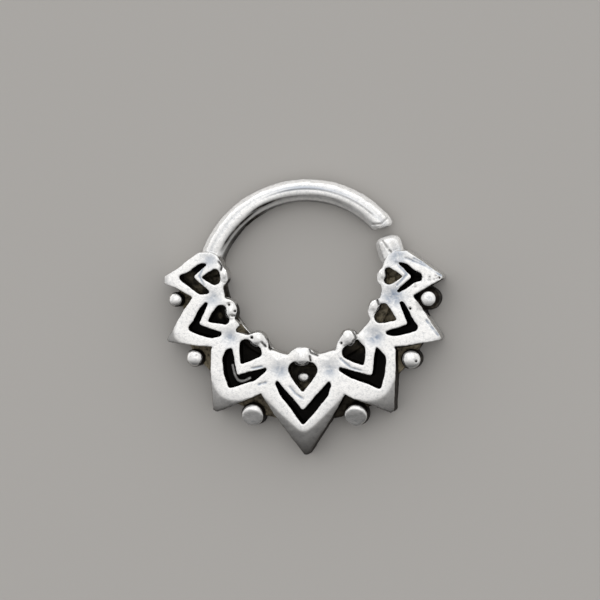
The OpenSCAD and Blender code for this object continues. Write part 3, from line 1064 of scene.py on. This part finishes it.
# The steep sides are satin, so that they look pale and not black where nothing is mirrored
store("satin", round_metal * smooth_step(0.9, 0.6, facing))
strand = np.stack([turn_on_hoop * HOOP_R, inner, np.zeros_like(inner)], 1).astype(np.float32)
ring.data.attributes.new("strand", "FLOAT_VECTOR", "POINT").data.foreach_set("vector", strand.ravel())
print("Length of wire:", round(float(np.ptp(turn_on_hoop[on_wire])) * HOOP_R, 1), "mm")

# %% [markdown]
# ## Oxidised silver
# Polished silver with a coat of black silver sulphide in its hollows. Polished silver is nearly
# white and sharp, with a faint haze of fine scratches. The sulphide is a soft brownish black that
# hardly reflects. Between them lies a thin warm grey band where the wheel just touched. Two
# materials could be given to two sets of faces, but their border would follow the faces. One
# material that blends by the stored numbers has a border as ragged as the real one.

# %% A helper for colours and one for nodes
TIMES = {"operation": "MULTIPLY"}
PLUS = {"operation": "ADD"}
TIMES_PLUS = {"operation": "MULTIPLY_ADD"}
LARGER = {"operation": "MAXIMUM"}
COLOURS = {"data_type": "RGBA"}
DOT = {"operation": "DOT_PRODUCT"}


def linear(hex_colour):
    """A linear RGBA colour from an sRGB hex value."""
    channels = [int(hex_colour[k:k + 2], 16) / 255 for k in (1, 3, 5)]
    return (*[c / 12.92 if c <= 0.04045 else ((c + 0.055) / 1.055) ** 2.4 for c in channels], 1)


def add(tree, kind, settings, *values, out=None, **named):
    """Adds a node with its settings and inputs, in order or by name, and gives back an output."""
    node = tree.nodes.new("ShaderNode" + kind)
    for name, value in settings.items():
        setattr(node, name, value)
    in_order = zip([socket for socket in node.inputs if socket.enabled], values)
    by_label = [(node.inputs[name.replace("_", " ")], value) for name, value in named.items()]
    for socket, value in [*in_order, *by_label]:
        if isinstance(value, bpy.types.NodeSocket):
            tree.links.new(value, socket)
        else:
            socket.default_value = value
    if out:
        return node.outputs[out]
    return next((socket for socket in node.outputs if socket.enabled), None)


print("White silver in linear light:", [round(c, 2) for c in linear("#f4f3f0")])

# %% What the finish reads: the place on the ring, and the numbers stored on its points
finish = bpy.data.materials.new("oxidised_silver")
finish.use_nodes = True
tree = finish.node_tree
tree.nodes.clear()
where = add(tree, "TexCoord", {}, out="Object")
STORED = ("polish", "openness", "crack_and_shade", "groove_and_shade", "worn", "haze", "stain", "wire_shade", "line", "band", "satin")
stored = {name: add(tree, "Attribute", {"attribute_name": name}, out="Fac") for name in STORED}
strand = add(tree, "Attribute", {"attribute_name": "strand"}, out="Vector")
print("Attributes read:", len(stored) + 1)

# %% The grain of the finish: patches, mottle, flecks and scratches
# Patches of tarnish about 0.6 mm across make the edge of the black ragged. The mottle of the
# sulphide is about 0.25 mm, the flecks in the polish 0.18 mm and the bluish wear 0.35 mm. Sanding
# grain is finer than 0.02 mm; it is drawn at 0.08 mm so that it shows.
PATCH = 0.6 * MM
MOTTLE = 0.25 * MM
FLECK = 0.18 * MM
WEAR = 0.35 * MM
GRAIN = 0.08 * MM
patches = add(tree, "TexNoise", {}, Vector=where, Scale=1 / PATCH, Detail=4.0, Roughness=0.6)
mottle = add(tree, "TexNoise", {}, Vector=where, Scale=1 / MOTTLE, Detail=4.0, Roughness=0.65)
flecks = add(tree, "TexNoise", {}, Vector=where, Scale=1 / FLECK, Detail=3.0, Roughness=0.7)
wear = add(tree, "TexNoise", {}, Vector=where, Scale=1 / WEAR, Detail=3.0, Distortion=0.3)
grain = add(tree, "TexNoise", {}, Vector=where, Scale=1 / GRAIN, Detail=2.0)
# The wire's marks are long along it and narrow across it
stretched = add(tree, "Mapping", {}, Vector=strand, Scale=(0.3, 5.0, 1.0))
marks = add(tree, "TexNoise", {}, Vector=stretched, Scale=1.0, Detail=3.0)
print("Finest pattern:", round(GRAIN / MM, 2), "mm")

# %% Where it is bright: polished or painted as lit, and not in a crack, a painted shade line or a painted dark band on the wire
ragged = add(tree, "Math", TIMES_PLUS, patches, 0.24, -0.12)
reach = add(tree, "Math", PLUS, stored["polish"], ragged)
grazed = add(tree, "MapRange", {}, reach, 0.42, 0.54, 0.0, 0.4)
rubbed = add(tree, "MapRange", {}, reach, 0.54, 0.68, 0.0, 0.6)
polished_or_lit = add(tree, "Math", PLUS, grazed, rubbed)
line = add(tree, "Math", TIMES, stored["line"], 0.7)
dark = add(tree, "Math", LARGER, stored["wire_shade"], line)
dark = add(tree, "Math", TIMES, dark, add(tree, "MapRange", {}, marks, 0.38, 0.58, 0.7, 1.0))
off_lines = add(tree, "Math", TIMES_PLUS, dark, -0.92, 1.0)
off_cracks_and_shade = add(tree, "Math", TIMES_PLUS, stored["crack_and_shade"], -0.9, 1.0)
bright = add(tree, "Math", TIMES, polished_or_lit, add(tree, "Math", TIMES, off_lines, off_cracks_and_shade))
print("Nodes so far:", len(tree.nodes))

# %% The black: darkest where it is least open, as painted shade, brownish where it lies open, rubbed grey where it lies most open, olive in the stains
# Painted shade: the black darkens where the spot is least open
shade_lift = add(tree, "MapRange", {}, stored["openness"], 0.12, 0.5, 0.0, 1.0)
black = add(tree, "Mix", COLOURS, shade_lift, linear("#060504"), linear("#15110d"))
rub = add(tree, "MapRange", {}, stored["openness"], 0.6, 0.8, 0.0, 1.0)
rub = add(tree, "Math", TIMES, rub, add(tree, "MapRange", {}, mottle, 0.5, 0.72, 0.0, 1.0))
black = add(tree, "Mix", COLOURS, rub, black, linear("#4a443b"))
olive = add(tree, "MapRange", {}, mottle, 0.36, 0.6, 0.15, 1.0)
olive = add(tree, "Math", TIMES, stored["stain"], olive)
black = add(tree, "Mix", COLOURS, olive, black, linear("#8f856f"))
print("Nodes so far:", len(tree.nodes))

# %% The silver: flecked, greyed by painted shade, bluish where it is worn, bluish grey as painted shade along the grooves, and with a painted reflection band along the wire
silver = add(tree, "Mix", COLOURS, patches, linear("#e6e4df"), linear("#f4f3f0"))
specked = add(tree, "MapRange", {}, flecks, 0.47, 0.7, 0.0, 0.5)
silver = add(tree, "Mix", COLOURS, specked, silver, linear("#b9bbbd"))
# Painted shade: a dark grey is mixed into the silver wherever haze is stored
silver = add(tree, "Mix", COLOURS, stored["haze"], silver, linear("#45423e"))
# Bluish where the dips are worn, and bluish grey painted shade along the grooves beside the ribs
bluish = add(tree, "Math", LARGER, stored["worn"], add(tree, "Math", TIMES, stored["groove_and_shade"], 0.9))
bluish = add(tree, "Math", TIMES, bluish, add(tree, "MapRange", {}, wear, 0.32, 0.54, 0.3, 1.0))
silver = add(tree, "Mix", COLOURS, bluish, silver, linear("#828e9e"))
# Painted reflection: the bluish grey band along the wire, broken by the drawing marks
painted_band = add(tree, "MapRange", {}, marks, 0.4, 0.6, 0.3, 0.9)
painted_band = add(tree, "Math", TIMES, stored["band"], painted_band)
silver = add(tree, "Mix", COLOURS, painted_band, silver, linear("#a3aab4"))
print("Nodes so far:", len(tree.nodes))

# %% The shader: bright spots are metal, black ones a matt coat with hardly any gloss
satin = add(tree, "Math", TIMES_PLUS, stored["satin"], -0.7, 1.0)
bump = add(tree, "Bump", {}, Strength=0.25, Distance=0.02 * MM, Height=grain)
shader = add(
    tree, "BsdfPrincipled", {}, Base_Color=add(tree, "Mix", COLOURS, bright, black, silver),
    Metallic=add(tree, "Math", TIMES, bright, satin),
    Roughness=add(tree, "MapRange", {}, bright, 0.0, 1.0, 0.5, 0.27),
    Normal=bump, Specular_IOR_Level=0.06,
)
add(tree, "OutputMaterial", {}, Surface=shader)
ring.data.materials.clear()
ring.data.materials.append(finish)
print("Finish:", finish.name, "with", len(tree.nodes), "nodes")

# %% Hand the ring over, in metres
ring.data.transform(Matrix.Scale(MM, 4))
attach(ring, "root")
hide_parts("septum_ring")
print("Size in mm:", [round(side / MM, 2) for side in ring.dimensions])

# %% [markdown]
# ## Stage, light and camera
# The ring lies on its back on a pale matt floor. Silver shows mostly what it mirrors, so the light
# is a broad softbox above and behind the hoop, in a pale room. A room could be built of walls, but
# a world that is bright overhead and behind the hoop, and dim in front of the lowest petal, mirrors
# the same. So the flat faces turn white while the tips that slope to the front turn grey. The
# camera looks almost straight down, turned a few degrees to the ring's right.

# %% Floor
FLOOR_HALF = 400 * MM
bm = bmesh.new()
bmesh.ops.create_grid(bm, x_segments=1, y_segments=1, size=FLOOR_HALF)
floor = to_object(bm, "floor")
paper = bpy.data.materials.new("matt_paper")
paper.use_nodes = True
sheet = paper.node_tree.nodes["Principled BSDF"]
sheet.inputs["Base Color"].default_value = linear("#aba8a3")
sheet.inputs["Roughness"].default_value = 0.9
floor.data.materials.append(paper)
print("Floor:", round(2 * FLOOR_HALF, 1), "m wide")


# %% Softbox
def softbox(name, place, aim, size, power):
    """A square area light at a place in mm, facing a point."""
    light = bpy.data.lights.new(name, "AREA")
    light.shape = "SQUARE"
    light.size = size * MM
    light.energy = power
    obj = bpy.data.objects.new(name, light)
    obj.location = Vector(place) * MM
    obj.rotation_euler = (Vector(aim) - Vector(place)).to_track_quat("-Z", "Y").to_euler()
    bpy.context.scene.collection.objects.link(obj)
    return obj


overhead = softbox("overhead", (-20, 130, 320), (-20, 130, 0), 300, 0.12)
print("Softbox:", overhead.name, overhead.data.energy, "W")

# %% The room: bright overhead and behind the hoop, a little brighter at the sides, dim in front
world = bpy.data.worlds.new("room")
world.use_nodes = True
room = world.node_tree
look = add(room, "TexCoord", {}, out="Generated")
slope = add(room, "VectorMath", DOT, look, (0, 0.5, 0.46))
sideways = add(room, "SeparateXYZ", {}, look, out="X")
sides = add(room, "Math", TIMES, sideways, sideways)
level = add(room, "Math", TIMES_PLUS, sides, 0.3, slope)
level = add(room, "Math", PLUS, level, 0.42)
soft = {"interpolation_type": "SMOOTHSTEP"}
level = add(room, "MapRange", soft, level, 0.15, 0.75, 0.12, 0.9)
# Pale walls glow near the horizon, most of all behind the hoop
height = add(room, "SeparateXYZ", {}, look, out="Z")
lowness = add(room, "Math", {"operation": "SUBTRACT", "use_clamp": True}, 1.0, height)
around = add(room, "Math", {"operation": "POWER"}, lowness, 4.0)
behind = add(room, "VectorMath", DOT, look, (-0.1, 1, 0))
behind = add(room, "Math", {"operation": "MULTIPLY", "use_clamp": True}, behind, lowness)
level = add(room, "Math", TIMES_PLUS, around, 0.35, level)
level = add(room, "Math", PLUS, behind, level)
sky = room.nodes["Background"]
room.links.new(level, sky.inputs["Strength"])
sky.inputs["Color"].default_value = linear("#fbfbfd")
bpy.context.scene.world = world
bpy.context.scene.view_settings.view_transform = "Standard"
print("Room:", len(room.nodes), "nodes")

# %% Camera
PIXELS = 600
PIXELS_PER_MM = 18
YAW_DEG = 8.2
PITCH_DEG = 1.5
DISTANCE = 170
SENSOR = 36
# What the middle of the picture shows: a point on the ring's middle plane
AIM = Vector((-0.26, -1.42, 1.0))

camera = bpy.data.objects.new("camera", bpy.data.cameras.new("camera"))
bpy.context.scene.collection.objects.link(camera)
yaw, pitch = math.radians(YAW_DEG), math.radians(PITCH_DEG)
towards = Vector((math.sin(yaw), math.sin(pitch), math.cos(yaw))).normalized()
camera.location = (AIM + towards * DISTANCE) * MM
across = Vector((math.cos(yaw), 0, -math.sin(yaw)))
upwards = towards.cross(across)
camera.rotation_euler = Matrix((across, upwards, towards)).transposed().to_euler()
camera.data.sensor_width = SENSOR
camera.data.lens = SENSOR * DISTANCE * PIXELS_PER_MM / PIXELS
camera.data.clip_start = 0.01
camera.data.clip_end = 10
bpy.context.scene.camera = camera
print("Lens:", round(camera.data.lens, 1), "mm")
